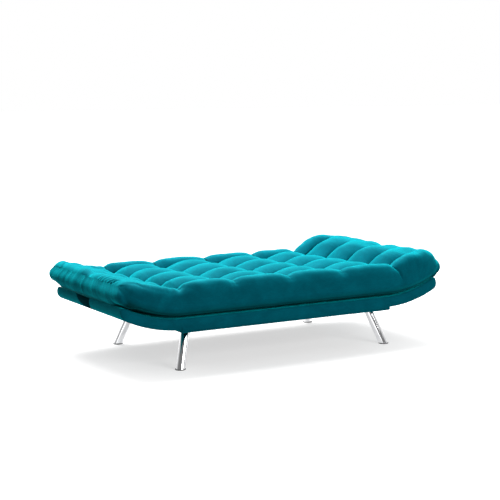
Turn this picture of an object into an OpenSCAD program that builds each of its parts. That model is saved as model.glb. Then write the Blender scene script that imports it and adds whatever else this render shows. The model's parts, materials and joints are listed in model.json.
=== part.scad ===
// Click-clack sofa bed, lying flat as a bed.
// X runs along the bed, -Y is the seat side, +Y is the back side, Z is up from the floor.

/* [Overall size] */
// Width of the mattress across the seat and the back
bed_width = 910; // [880:2:930]
// Half length of the straight middle part, before the ends curve up
flat_half = 590; // [560:5:600]
// Height of the flat top face of the upholstered base
deck_z = 254; // [252:1:256]
// Height of the flat part of the mattress
mattress_rise = 169; // [150:1:180]

/* [Curved ends] */
// Radius of the curved top face of the base
deck_r = 640; // [620:5:660]
// Angle at which the base ends
base_end = 28; // [21:3.5:28]
// Angle at which the straight part of the mattress end stops, before its round nose
mattress_end = 31.5; // [28:3.5:31.5]
// How far the round nose of the mattress stands out
nose_depth = 66; // [50:1:80]

/* [Base] */
// Thickness of the upholstered panel at the ends
panel_t = 55; // [50:1:60]
// Half width of the upholstered base
base_half_w = 420; // [412:1:424]
// Half length of the deeper box in the middle
box_half = 605; // [602:1:610]
// Height of the lower edge of that box
box_z = 184; // [180:1:186]
// Padding and fabric of the cover on its sides
cover_wall = 12; // [10:1:14]
// Distance of the seat's inner face from the hinge line
seat_gap = 27; // [26:1:30]
// Distance of the back's inner face from the hinge line
back_gap = 25; // [25:1:28]
// Angle of the chamfer on the back's curved ends, above the level
chamfer = 30; // [28:1:30]

/* [Legs] */
// Diameter of the leg tube
leg_d = 45; // [40:1:46]
// Distance of a foot from the middle, along the bed
foot_x = 597; // [590:1:610]
// Distance of a foot from the middle, across the bed
foot_y = 375; // [360:1:378]
// Distance of a leg's top from the middle, along the bed
leg_top_x = 534; // [530:1:536]
// Distance of a leg's top from the middle, across the bed
leg_top_y = 314; // [310:1:318]

/* [Hinge] */
// Height of the hinge line
hinge_z = 240; // [239:0.5:241]
// Distance of each hinge from the middle, to the middle of its moving plate
hinge_x = 501.5; // [500:0.5:502]
// Radius of the hinge pin
pin_r = 5; // [4:0.5:6]
// Radius of the ratchet over its teeth
ratchet_r = 25; // [24.5:0.1:25]
// Angle from one ratchet tooth to the next
tooth_pitch = 15; // [15]
// How far the pawl swings from parked to engaged
pawl_throw = 6.5; // [6.5:0.1:7]

/* [Hidden] */
$fn = 48;
fit = 0.05;
eps = 1;

arc_z = deck_z + deck_r;
arc_step = 3.5;
fold_angle = 38.5;
fold_gap = 0.4;

mattress_r = deck_r - 2;
mattress_top = deck_z + 2 + mattress_rise;
crown_r = 475;
side_r = 38;
nose_points = 9;
valley = [[635, 411], [600, 414], [560, mattress_top]];

cover_skin = 3;
cover_nose = 42;
cavity_nose = 16;
box_overlap = 4;
cavity_h = 34;
cavity_bottom = deck_z - cover_skin - cavity_h;
recess_z = cavity_bottom - 2;
lining_t = 1.2;

tube_w = 25;
rail_top_r = deck_r + 10;
rail_bottom_r = deck_r + 36;
rail_end = 24.5;
tube_wall = 2;
rail_inset = 3;
slat_t = 5;
slat_w = 64;
slat_r = deck_r + 3.5;
slat_pitch = 110;
slat_count = 11;
wing_slat_angles = [7.5, 14.5, 21.5];
wing_rail_y = 170;
wing_rail_start = flat_half + 10.2;
seat_bars = [-534, -178, 178, 534];
back_bars = [-587.5, -475, -160, 160, 475, 587.5];

plate_t = 3;
leg_cut_z = 188;
chassis_z = leg_cut_z + plate_t;
chassis_h = 22;
chassis_w = 40;
chassis_half_y = 375;
cross_w = 24;
glide_t = 5;
glide_r = 26;
leg_run_x = foot_x - leg_top_x;
leg_run_y = foot_y - leg_top_y;
leg_tilt = atan(norm([leg_run_x, leg_run_y]) / leg_cut_z);
leg_plate_l = 110;
screw_r = 3;
screw_dx = 12;
screw_dy = 44;

bolt_r = 4;
bolt_head_h = 4;
screw_head_h = 2.5;
screw_l = 12;
frame_bolt_l = 34;
back_bolt_l = 25;
short_bolt_l = 16;
seat_bolt_y = [-240, -130];
back_bolt_x = 475;
back_bolt_y = [140, 180];
arm_bolt_y = [-110, -90];
seat_bolt_places = [for (x = [seat_bars[0], seat_bars[3]], y = seat_bolt_y) [x, y]];
back_bolt_places = [for (x = [-back_bolt_x, back_bolt_x], y = back_bolt_y) [x, y]];
arm_bolt_z = chassis_z + 11;

seat_plate_t = 4;
back_plate_t = 5;
plate_gap = 0.5;
hub_r = 13;
arm_low = chassis_z + 1;
arm_high = chassis_z + 20.5;
ratchet_root = 20.5;
engage_angle = -90;
notch_count = 6;
pawl_y = -45;
pawl_z = 207;
pawl_pin_r = 3;
pawl_boss_r = 5.8;
pawl_t = 4;
nose_tip_r = 21.2;
spring_z = 203;
spring_turns = 7;
spring_steps = 12;
spring_wire_r = 0.5;
spring_coil_r = 2;
spring_from = -79;
spring_to = -53.5;

SEAT = -1;
BACK = 1;

// A point of a curved end, at radius r and angle a from straight down.
function on_arc(r, a) = [flat_half + r * sin(a), arc_z - r * cos(a)];

// Mirrors the right half of an outline, so that it runs once round the whole section.
function both_ends(right) =
    concat(right, [for (i = [len(right) - 1:-1:0]) [-right[i][0], right[i][1]]]);

// Round end of a curved panel between two radii: half an oval that stands out by depth.
function round_end(r_low, r_high, a, depth, steps) =
    let (mid = (r_low + r_high) / 2, half = (r_low - r_high) / 2)
    [for (i = [1:steps - 1])
        let (t = 180 * i / steps)
        on_arc(mid + half * cos(t), a) + depth * sin(t) * [cos(a), sin(a)]];

// Section of a panel of even thickness, flat in the middle and curved up at both ends.
function panel_outline(r_low, r_high, end, depth) =
    both_ends(concat(
        [for (a = [0:arc_step:end]) on_arc(r_low, a)],
        round_end(r_low, r_high, end, depth, 8),
        [for (a = [end:-arc_step:0]) on_arc(r_high, a)]));

// Section of the mattress, drawn in by d from its full outline.
function mattress_outline(d) =
    both_ends(concat(
        [for (a = [0:arc_step:mattress_end]) on_arc(mattress_r - d, a)],
        round_end(mattress_r - d, crown_r + d, mattress_end, nose_depth - d, nose_points + 1),
        [for (a = [mattress_end:-arc_step:10.5]) on_arc(crown_r + d, a)],
        [for (p = valley) p - [0, d]]));

// Distance from the hinge line of the slanted fold face, at height z.
function fold_y(z) = (z - hinge_z) * tan(fold_angle);

// Faces that close one end of the mattress: strips from its lower to its upper edge, and the round noses.
function end_faces(n) =
    let (half = n / 2, low = (half - nose_points) / 2)
    concat(
        [[n - 1, 0, half - 1, half]],
        [for (i = [0:low - 2]) [i, i + 1, half - 2 - i, half - 1 - i]],
        [for (i = [0:low - 2]) [half + i, half + 1 + i, n - 2 - i, n - 1 - i]],
        [[for (k = [low - 1:half - low]) k]],
        [[for (k = [half + low - 1:n - low]) k]]);

// Solid between mattress sections that have the same number of points, first to last along +Y.
module loft(sections) {
    n = len(sections[0]);
    last = len(sections) - 1;
    walls = [for (k = [0:last - 1], i = [0:n - 1])
        [k * n + i, (k + 1) * n + i, (k + 1) * n + (i + 1) % n, k * n + (i + 1) % n]];
    front = end_faces(n);
    back = [for (f = front) [for (i = reversed(f)) last * n + i]];
    polyhedron([for (s = sections) each s], concat(front, walls, back), convexity = 6);
}

// Places a section at one distance y.
function section_at(outline, y) = [for (p = outline) [p[0], y, p[1]]];

// Places a section on the slanted fold face of one side, gap away from it.
function section_on_fold(outline, side, gap) =
    [for (p = outline) [p[0], side * (fold_y(p[1]) + gap), p[1]]];

// Sections of the rounded long edge of the mattress, from outside to inside.
function edge_sections(side) =
    [for (t = [0:22.5:90])
        section_at(mattress_outline(side_r * (1 - sin(t))), side * (bed_width / 2 - side_r * (1 - cos(t))))];

function reversed(list) = [for (i = [len(list) - 1:-1:0]) list[i]];

module seat_mattress() {
    color("teal")
        loft(concat(edge_sections(SEAT), [section_on_fold(mattress_outline(0), SEAT, fold_gap)]));
}

module back_mattress() {
    color("teal")
        loft(concat([section_on_fold(mattress_outline(0), BACK, fold_gap)], reversed(edge_sections(BACK))));
}

module mattress_fold() {
    color("teal")
        loft([section_on_fold(mattress_outline(0), SEAT, 0), section_on_fold(mattress_outline(0), BACK, 0)]);
}

// Extrudes an X-Z section across the bed, from y0 to y1.
module across(y0, y1) {
    translate([0, y1, 0])
        rotate([90, 0, 0])
            linear_extrude(y1 - y0)
                children();
}

// Block between two corners.
module block(low, high) {
    translate(low)
        cube(high - low);
}

// The space above the chamfer of the back's curved ends, shifted down by d.
module above_chamfer(d) {
    translate([-1000, 0, hinge_z])
        rotate([chamfer, 0, 0])
            translate([0, -50, -d])
                cube([2000, 400, 300]);
}

// Panel of one half, from its inner face to its outer side, drawn in by w on every side.
module half_panel(side, r_low, r_high, end, depth, w) {
    inner = (side == SEAT ? seat_gap : back_gap) + w;
    outer = base_half_w - w;
    across(side == SEAT ? -outer : inner, side == SEAT ? -inner : outer)
        polygon(panel_outline(r_low, r_high, end, depth));
}

// Upholstered cover of one half: a closed padded casing, with a skirt round the middle box.
module cover(side, holes) {
    gap = side == SEAT ? seat_gap : back_gap;
    y_in = side * gap;
    y_out = side * base_half_w;
    y_skirt = side * (base_half_w - cover_wall);
    y_open = y_in - side * eps;
    color("darkcyan")
        difference() {
            union() {
                half_panel(side, deck_r + panel_t, deck_r, base_end - arc_step, cover_nose, 0);
                block(
                    [-box_half, min(y_in, y_out), box_z],
                    [box_half, max(y_in, y_out), deck_z - panel_t + box_overlap]);
            }
            block(
                [-box_half + cover_wall, min(y_open, y_skirt), box_z - eps],
                [box_half - cover_wall, max(y_open, y_skirt), recess_z]);
            cover_cavity(side);
            for (h = holes)
                translate([h[0], h[1], recess_z - eps])
                    cylinder(r = bolt_r + 0.5, h = 2 + 2 * eps);
            if (side == BACK)
                above_chamfer(0);
        }
}

// Closed space inside a cover, where the frame and the slats lie.
module cover_cavity(side) {
    difference() {
        half_panel(
            side, deck_r + cover_skin + cavity_h, deck_r + cover_skin,
            base_end - arc_step, cavity_nose, cover_wall);
        if (side == BACK)
            above_chamfer(cover_wall);
    }
}

module seat_cover() {
    cover(SEAT, seat_bolt_places);
}

module back_cover() {
    cover(BACK, back_bolt_places);
}

// Black dust cover under the middle box of one half.
module underlining(side, holes) {
    gap = side == SEAT ? seat_gap : back_gap;
    y_in = side * (gap + 1);
    y_out = side * (base_half_w - cover_wall - 1);
    half = box_half - cover_wall - 1;
    color("dimgray")
        difference() {
            block([-half, min(y_in, y_out), recess_z - lining_t], [half, max(y_in, y_out), recess_z]);
            for (h = holes)
                translate([h[0], h[1], recess_z - lining_t - eps])
                    cylinder(r = bolt_r + 0.5, h = lining_t + 2 * eps);
        }
}

module seat_underlining() {
    underlining(SEAT, seat_bolt_places);
}

module back_underlining() {
    underlining(BACK, back_bolt_places);
}

// Section of a curved rail; inset by t it is the rail's hollow.
function rail_section(t) =
    both_ends(concat(
        [for (a = [0:arc_step:rail_end]) on_arc(rail_bottom_r - t, a)],
        [for (a = [rail_end:-arc_step:0]) on_arc(rail_top_r + t, a)]));

// Square tube that follows the curve of the base, from y0 to y0 + tube_w.
module bent_rail(y0) {
    color("dimgray")
        difference() {
            across(y0, y0 + tube_w)
                polygon(rail_section(0));
            across(y0 + tube_wall, y0 + tube_w - tube_wall)
                polygon(rail_section(tube_wall));
        }
}

module seat_rail_front() {
    bent_rail(-base_half_w + cover_wall + rail_inset);
}

module seat_rail_rear() {
    bent_rail(-seat_gap - cover_wall - rail_inset - tube_w);
}

module back_rail_upper() {
    bent_rail(base_half_w - cover_wall - rail_inset - tube_w);
}

// Straight box tube between two corners, open along one axis (0 is X, 1 is Y).
module box_tube(low, high, axis) {
    shift = [for (i = [0:2]) i == axis ? -eps : tube_wall];
    difference() {
        block(low, high);
        block(low + shift, high - shift);
    }
}

module back_rail_lower() {
    y0 = back_gap + cover_wall + rail_inset;
    color("dimgray")
        box_tube(
            [-flat_half - 10, y0, arc_z - rail_bottom_r],
            [flat_half + 10, y0 + tube_w, arc_z - rail_top_r], 0);
}

// Short curved rails that carry the chamfered inner edge of the back's ends.
module back_wing_rails() {
    color("dimgray")
        difference() {
            bent_rail(wing_rail_y);
            block(
                [-wing_rail_start, wing_rail_y - eps, 0],
                [wing_rail_start, wing_rail_y + tube_w + eps, arc_z]);
        }
}

// Crossbars between two rails, at each x of the list.
module crossbars(xs, y0, y1) {
    color("dimgray")
        for (x = xs)
            box_tube(
                [x - tube_w / 2, y0, arc_z - rail_bottom_r],
                [x + tube_w / 2, y1, arc_z - rail_top_r], 1);
}

module seat_crossbars() {
    rail_in = seat_gap + cover_wall + rail_inset + tube_w;
    rail_out = base_half_w - cover_wall - rail_inset - tube_w;
    difference() {
        crossbars(seat_bars, -rail_out, -rail_in);
        bolt_holes(seat_bolt_places);
    }
}

module back_crossbars() {
    rail_in = back_gap + cover_wall + rail_inset + tube_w;
    rail_out = base_half_w - cover_wall - rail_inset - tube_w;
    difference() {
        crossbars(back_bars, rail_in, rail_out);
        bolt_holes(back_bolt_places);
    }
}

// Holes for the frame bolts in the lower wall of the crossbars.
module bolt_holes(places) {
    for (p = places)
        translate([p[0], p[1], cavity_bottom - eps])
            cylinder(r = bolt_r + fit, h = 8);
}

// Wooden slats from y0 to y1 on the flat part, and from wing_y0 to wing_y1 on the curved ends.
module slats(y0, y1, wing_y0, wing_y1) {
    color("burlywood") {
        for (i = [0:slat_count - 1])
            translate([(i - (slat_count - 1) / 2) * slat_pitch - slat_w / 2, y0, arc_z - slat_r - slat_t])
                cube([slat_w, y1 - y0, slat_t]);
        for (end = [-1, 1], a = wing_slat_angles)
            translate([end * flat_half, wing_y0, arc_z])
                rotate([0, -end * a, 0])
                    translate([-slat_w / 2, 0, -slat_r - slat_t])
                        cube([slat_w, wing_y1 - wing_y0, slat_t]);
    }
}

module seat_slats() {
    y0 = -base_half_w + cover_wall + rail_inset;
    y1 = -seat_gap - cover_wall - rail_inset;
    slats(y0, y1, y0, y1);
}

module back_slats() {
    y1 = base_half_w - cover_wall - rail_inset;
    slats(back_gap + cover_wall + 2 * rail_inset + 4, y1, wing_rail_y + 2, y1);
}

// Steel tube of the leg frame that lies across the bed, on the side named by sx.
module chassis_rail(sx) {
    x0 = sx * leg_top_x - chassis_w / 2;
    inner_face = sx * (leg_top_x - chassis_w / 2);
    color("dimgray")
        difference() {
            box_tube(
                [x0, -chassis_half_y, chassis_z],
                [x0 + chassis_w, chassis_half_y, chassis_z + chassis_h], 1);
            for (y = seat_bolt_y)
                translate([sx * leg_top_x, y, chassis_z - eps])
                    cylinder(r = bolt_r + fit, h = chassis_h + 2 * eps);
            for (y = arm_bolt_y)
                translate([inner_face - sx * eps, y, arm_bolt_z])
                    rotate([0, sx * 90, 0])
                        cylinder(r = bolt_r + fit, h = tube_wall + 2 * eps);
            for (sy = [-1, 1])
                leg_screw_places(sx, sy)
                    translate([0, 0, chassis_z - eps])
                        cylinder(r = screw_r + fit, h = tube_wall + 2 * eps);
        }
}

module chassis_cross(sy) {
    half = leg_top_x - chassis_w / 2;
    color("dimgray")
        box_tube(
            [-half, sy * leg_top_y - cross_w / 2, chassis_z],
            [half, sy * leg_top_y + cross_w / 2, chassis_z + chassis_h], 0);
}

// Puts its child at each of the four screws of one leg plate.
module leg_screw_places(sx, sy) {
    for (dx = [-screw_dx, screw_dx], dy = [-screw_dy, screw_dy])
        translate([sx * leg_top_x + dx, sy * leg_top_y + dy, 0])
            children();
}

// Round bar on the slanted line of a leg, of radius r, cut level at z0 and z1.
module leg_bar(sx, sy, r, z0, z1) {
    intersection() {
        translate([sx * foot_x, sy * foot_y, 0])
            rotate([0, 0, atan2(sy * leg_run_y, sx * leg_run_x)])
                rotate([0, -leg_tilt, 0])
                    translate([0, 0, -60])
                        cylinder(r = r, h = 360);
        block([sx * foot_x - 200, sy * foot_y - 200, z0], [sx * foot_x + 200, sy * foot_y + 200, z1]);
    }
}

module leg(sx, sy) {
    color("silver")
        difference() {
            leg_bar(sx, sy, leg_d / 2, glide_t, leg_cut_z);
            leg_bar(sx, sy, leg_d / 2 - tube_wall, glide_t - eps, leg_cut_z + eps);
        }
}

module foot_glide(sx, sy) {
    color("lightgray") {
        translate([sx * foot_x, sy * foot_y, 0])
            cylinder(r1 = glide_r - 1.5, r2 = glide_r, h = 1.5);
        translate([sx * foot_x, sy * foot_y, 1.5])
            cylinder(r = glide_r, h = glide_t - 1.5);
        leg_bar(sx, sy, leg_d / 2 - tube_wall - 0.3, glide_t - 0.5, glide_t + 18);
    }
}

module leg_plate(sx, sy) {
    color("gray")
        difference() {
            translate([sx * leg_top_x - chassis_w / 2, sy * leg_top_y - leg_plate_l / 2, leg_cut_z])
                cube([chassis_w, leg_plate_l, plate_t]);
            leg_screw_places(sx, sy)
                translate([0, 0, leg_cut_z - eps])
                    cylinder(r = screw_r + fit, h = plate_t + 2 * eps);
        }
}

// Bolt with its head below z and its shank going up by length.
module bolt_up(r, z, length, head_h) {
    translate([0, 0, z])
        cylinder(r = r, h = length);
    translate([0, 0, z - head_h])
        cylinder(r = r * 1.8, h = head_h);
}

module leg_screws() {
    color("silver")
        for (sx = [-1, 1], sy = [-1, 1])
            leg_screw_places(sx, sy)
                bolt_up(screw_r, leg_cut_z, screw_l, screw_head_h);
}

module seat_frame_bolts() {
    color("silver")
        for (sx = [-1, 1], y = seat_bolt_y)
            translate([sx * leg_top_x, y, 0])
                bolt_up(bolt_r, chassis_z, frame_bolt_l, bolt_head_h);
}

// Puts its children on one side; they are drawn for the side with positive x.
module on_side(sx) {
    mirror([sx < 0 ? 1 : 0, 0, 0])
        children();
}

// Plate drawn in the Y-Z plane, from x0 to x0 + t.
module side_plate(x0, t) {
    translate([x0, 0, 0])
        rotate([90, 0, 90])
            linear_extrude(t)
                children();
}

// Outline of a fixed hinge plate: the hub, a neck in the gap and an arm under the seat.
module seat_plate_outline() {
    difference() {
        union() {
            translate([0, hinge_z])
                circle(r = hub_r);
            polygon([[-hub_r, hinge_z], [-24, arm_high], [-120, arm_high], [-120, arm_low],
                [14, arm_low], [hub_r, hinge_z]]);
        }
        translate([0, hinge_z])
            circle(r = pin_r + fit);
        translate([pawl_y, pawl_z])
            circle(r = pawl_pin_r + fit);
    }
}

module hinge_seat_bracket(sx) {
    inner_x = hinge_x - back_plate_t / 2 - plate_gap - seat_plate_t;
    outer_x = hinge_x + back_plate_t / 2 + plate_gap;
    rail_x = leg_top_x - chassis_w / 2;
    color("gray")
        on_side(sx)
            difference() {
                union() {
                    side_plate(inner_x, seat_plate_t)
                        seat_plate_outline();
                    side_plate(outer_x, seat_plate_t)
                        seat_plate_outline();
                    block([inner_x, -120, arm_low], [rail_x, -80, arm_high]);
                }
                for (y = arm_bolt_y)
                    translate([inner_x - eps, y, arm_bolt_z])
                        rotate([0, 90, 0])
                            cylinder(r = bolt_r + fit, h = 30);
            }
}

// Outline of the moving hinge plate: the hub, the ratchet and an arm under the back.
module back_plate_outline() {
    difference() {
        union() {
            translate([0, hinge_z])
                circle(r = hub_r);
            translate([0, hinge_z])
                ratchet_sector();
            polygon([[2, hinge_z - hub_r + 2], [8.5, 220], [8.5, 204], [14, arm_low], [210, arm_low],
                [210, arm_high], [24, arm_high], [hub_r, hinge_z]]);
        }
        translate([0, hinge_z])
            circle(r = pin_r + fit);
    }
}

// Ratchet: teeth between notches, one notch a pitch, centred on the hinge line.
module ratchet_sector() {
    first = engage_angle - tooth_pitch * (notch_count - 1) - 9;
    tooth = function (a) [
        for (p = [[ratchet_root, -4.5], [ratchet_r, -2], [ratchet_r, 2], [ratchet_root, 4.5]])
            p[0] * [cos(a + p[1]), sin(a + p[1])]];
    polygon(concat(
        [[0, 0]],
        [for (i = [0:notch_count]) each tooth(first + 1.5 + tooth_pitch * i)]));
}

module hinge_back_bracket(sx) {
    flange_t = 4;
    color("gray")
        on_side(sx)
            difference() {
                union() {
                    side_plate(hinge_x - back_plate_t / 2, back_plate_t)
                        back_plate_outline();
                    block(
                        [back_bolt_x - 15, 120, arm_high - flange_t],
                        [hinge_x - back_plate_t / 2, 200, arm_high]);
                }
                for (y = back_bolt_y)
                    translate([back_bolt_x, y, arm_high - flange_t - eps])
                        cylinder(r = bolt_r + fit, h = flange_t + 2 * eps);
            }
}

// Pin along X through both fixed plates, with a head at each end.
module cross_pin(r, head_r) {
    reach = back_plate_t / 2 + plate_gap + seat_plate_t + 0.5;
    head = 2.5;
    translate([-reach, 0, 0])
        rotate([0, 90, 0])
            cylinder(r = r, h = 2 * reach);
    for (x = [-reach - head, reach])
        translate([x, 0, 0])
            rotate([0, 90, 0])
                cylinder(r = head_r, h = head);
}

module hinge_pin(sx) {
    color("silver")
        on_side(sx)
            translate([hinge_x, 0, hinge_z])
                cross_pin(pin_r, 8);
}

module pawl_pin(sx) {
    color("silver")
        on_side(sx)
            translate([hinge_x, pawl_y, pawl_z])
                cross_pin(pawl_pin_r, 5);
}

module hinge_seat_bolts() {
    inner_x = hinge_x - back_plate_t / 2 - plate_gap - seat_plate_t;
    color("silver")
        for (sx = [-1, 1], y = arm_bolt_y)
            on_side(sx)
                translate([inner_x, y, arm_bolt_z])
                    rotate([0, 90, 0])
                        bolt_up(bolt_r, 0, back_bolt_l, bolt_head_h);
}

module hinge_back_bolts() {
    color("silver")
        for (sx = [-1, 1], y = back_bolt_y)
            translate([sx * back_bolt_x, y, 0])
                bolt_up(bolt_r, arm_high - 4, short_bolt_l, bolt_head_h);
}

// A point at radius r and angle a about the hinge line, in the Y-Z plane.
function about_hinge(r, a) = [r * cos(a), hinge_z + r * sin(a)];

// Pawl, drawn engaged with its nose in a notch and then swung back to its parked place.
module pawl(sx) {
    color("gray")
        on_side(sx)
            translate([0, pawl_y, pawl_z])
                rotate([-pawl_throw, 0, 0])
                    translate([0, -pawl_y, -pawl_z])
                        engaged_pawl();
}

module engaged_pawl() {
    x0 = hinge_x - pawl_t / 2;
    difference() {
        union() {
            translate([x0, pawl_y, pawl_z])
                rotate([0, 90, 0])
                    cylinder(r = pawl_boss_r, h = pawl_t);
            side_plate(x0, pawl_t)
                polygon([
                    [pawl_y - 3, pawl_z + 4.8],
                    about_hinge(26.2, engage_angle - 4), about_hinge(25.8, engage_angle - 3),
                    about_hinge(nose_tip_r, engage_angle - 1.5), about_hinge(nose_tip_r, engage_angle + 1.5),
                    about_hinge(25.8, engage_angle + 3), about_hinge(26.2, engage_angle + 4),
                    about_hinge(31, engage_angle + 3),
                    [pawl_y - 2, pawl_z - 5.4]]);
            block([x0, pawl_y - 7, pawl_z - 6.5], [x0 + pawl_t, pawl_y - 2, pawl_z - 1]);
        }
        translate([x0 - eps, pawl_y, pawl_z])
            rotate([0, 90, 0])
                cylinder(r = pawl_pin_r + fit, h = pawl_t + 2 * eps);
    }
}

// Coil spring that presses on the pawl's tail.
module pawl_spring(sx) {
    sides = 6;
    rings = spring_turns * spring_steps;
    rise = (spring_to - spring_from) / rings;
    points = [for (k = [0:rings], s = [0:sides - 1])
        let (turn = 360 * k / spring_steps, a = 360 * s / sides, r = spring_coil_r + spring_wire_r * cos(a))
        [r * cos(turn), spring_from + rise * k + spring_wire_r * sin(a), r * sin(turn)]];
    walls = [for (k = [0:rings - 1], s = [0:sides - 1])
        let (a = k * sides + s, b = k * sides + (s + 1) % sides)
        each [[a, b, b + sides], [a, b + sides, a + sides]]];
    start = [[for (s = [sides - 1:-1:0]) s]];
    stop = [[for (s = [0:sides - 1]) rings * sides + s]];
    color("silver")
        translate([sx * hinge_x, 0, spring_z])
            polyhedron(points, concat(start, walls, stop), convexity = 8);
}

seat_mattress();
mattress_fold();
back_mattress();
seat_cover();
back_cover();
seat_underlining();
back_underlining();
seat_rail_front();
seat_rail_rear();
seat_crossbars();
seat_slats();
back_rail_lower();
back_rail_upper();
back_wing_rails();
back_crossbars();
back_slats();
chassis_rail(-1);  // chassis_rail_left
chassis_rail(1);  // chassis_rail_right
chassis_cross(-1);  // chassis_cross_front
chassis_cross(1);  // chassis_cross_rear
leg(-1, -1);  // leg_front_left
leg(1, -1);  // leg_front_right
leg(-1, 1);  // leg_rear_left
leg(1, 1);  // leg_rear_right
leg_plate(-1, -1);  // leg_plate_front_left
leg_plate(1, -1);  // leg_plate_front_right
leg_plate(-1, 1);  // leg_plate_rear_left
leg_plate(1, 1);  // leg_plate_rear_right
foot_glide(-1, -1);  // foot_glide_front_left
foot_glide(1, -1);  // foot_glide_front_right
foot_glide(-1, 1);  // foot_glide_rear_left
foot_glide(1, 1);  // foot_glide_rear_right
leg_screws();
seat_frame_bolts();
hinge_seat_bracket(-1);  // hinge_seat_bracket_left
hinge_seat_bracket(1);  // hinge_seat_bracket_right
hinge_back_bracket(-1);  // hinge_back_bracket_left
hinge_back_bracket(1);  // hinge_back_bracket_right
hinge_pin(-1);  // hinge_pin_left
hinge_pin(1);  // hinge_pin_right
hinge_seat_bolts();
hinge_back_bolts();
pawl(-1);  // pawl_left
pawl(1);  // pawl_right
pawl_pin(-1);  // pawl_pin_left
pawl_pin(1);  // pawl_pin_right
pawl_spring(-1);  // pawl_spring_left
pawl_spring(1);  // pawl_spring_right
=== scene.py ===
"""Looks of the click-clack sofa bed: velvet upholstery, chrome legs, frame finishes, studio and camera."""
import json
import math

import bmesh
import bpy
import numpy as np
from mathutils import Euler, Matrix, Vector


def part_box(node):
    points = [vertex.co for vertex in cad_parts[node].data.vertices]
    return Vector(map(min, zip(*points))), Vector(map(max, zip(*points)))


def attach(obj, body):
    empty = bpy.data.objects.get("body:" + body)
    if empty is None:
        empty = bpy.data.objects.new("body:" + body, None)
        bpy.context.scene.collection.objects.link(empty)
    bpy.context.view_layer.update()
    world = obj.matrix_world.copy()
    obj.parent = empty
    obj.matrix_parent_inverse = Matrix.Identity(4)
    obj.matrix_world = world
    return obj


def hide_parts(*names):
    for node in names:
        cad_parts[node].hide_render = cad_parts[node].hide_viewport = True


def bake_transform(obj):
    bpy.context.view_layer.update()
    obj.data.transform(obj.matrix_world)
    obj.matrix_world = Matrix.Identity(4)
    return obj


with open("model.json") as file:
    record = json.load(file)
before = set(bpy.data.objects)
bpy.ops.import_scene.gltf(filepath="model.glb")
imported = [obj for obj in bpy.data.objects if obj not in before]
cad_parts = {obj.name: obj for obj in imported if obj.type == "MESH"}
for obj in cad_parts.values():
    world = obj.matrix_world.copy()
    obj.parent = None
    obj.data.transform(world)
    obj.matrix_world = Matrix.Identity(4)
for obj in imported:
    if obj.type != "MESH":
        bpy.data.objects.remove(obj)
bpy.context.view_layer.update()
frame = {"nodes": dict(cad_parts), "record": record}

# ---------------------------------------------------------------- sizes, in metres, from the frame

mattress_low, mattress_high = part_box("seat_mattress")
cover_low, cover_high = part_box("seat_cover")
back_low, back_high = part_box("back_cover")

HALF_WIDTH = -mattress_low.y
UNDERSIDE = mattress_low.z
BASE_HALF_WIDTH = -cover_low.y
BOX_BOTTOM = cover_low.z
SEAT_INNER = -cover_high.y
BACK_INNER = back_low.y

FLAT_HALF = 0.590        # half length of the straight middle
ARC_Z = 0.894            # height of the centre of both curved ends
DECK_R = 0.640           # radius of the top of the base there
DECK_Z = ARC_Z - DECK_R
MATTRESS_R = ARC_Z - UNDERSIDE
HINGE_Z = 0.240

RISE = 0.169             # thickness of the mattress on its flat part
WING_RISE = 0.163        # and over the right curved end
SLACK_RISE = 0.151       # the left end has settled a little thinner
WING_END = math.radians(31.5)
NOSE = 0.066             # how far the round nose stands out
EDGE_TOP = 0.042         # radius of the upper long edge
EDGE_LOW = 0.018         # radius of the lower long edge
CORNER = 0.085           # how much the width draws in round the corners, seen from above
CORNER_START = 0.868     # where that begins along the bed

CELL = 0.310             # length of one quilted cell
VALLEY = 2 * CELL        # where the quilted middle ends and the raised ends begin
ROW = 0.1785             # width of one quilted row
OUTER_SEAM = 2 * ROW
DOME_RISE = 0.195        # from the valley to the fullest part of a raised end, along the cloth
SEAM_DRIFT = -0.035      # how far the cross seams lie off the middle of the bed
SEAM_SKEW = -0.020       # and how much further on the back side, less on the seat side
VALLEY_SKEW = -0.034     # and how much more of that at the right valley

SEAT, BACK = -1, 1


def smooth(low, high, x):
    """0 below low, 1 above high, an even S between them."""
    t = np.clip((np.asarray(x, float) - low) / (high - low), 0, 1)
    return t * t * (3 - 2 * t)


def crowded(low, high, count, crowd):
    """Numbers from low to high that lie closer together at both ends."""
    t = np.arange(count + 1) / count
    return low + (high - low) * (t - crowd * np.sin(2 * np.pi * t) / (2 * np.pi))


def bend(s, r, end_angle):
    """Place (x, z) of a point s along the bed at radius r: flat, on a curved end, or straight past it."""
    side = np.where(s < 0, -1.0, 1.0)
    past = np.abs(s) - FLAT_HALF
    angle = np.clip(past / DECK_R, 0, end_angle)
    over = past - angle * DECK_R
    x = FLAT_HALF + r * np.sin(angle) + over * np.cos(angle)
    z = ARC_Z - r * np.cos(angle) + np.where(past > 0, over, 0) * np.sin(angle)
    return side * x, z


def end_of(angle):
    """How far along the bed a curved end reaches at an angle."""
    return FLAT_HALF + DECK_R * angle


def grid_normals(points):
    """Outward unit normals of a grid of rings."""
    along = np.gradient(points, axis=0)
    closed = np.concatenate([points[:, -1:], points, points[:, :1]], axis=1)
    around = (closed[:, 2:] - closed[:, :-2]) / 2
    normal = np.cross(around, along)
    size = np.linalg.norm(normal, axis=2, keepdims=True)
    return normal / np.maximum(size, 1e-12)


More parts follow.
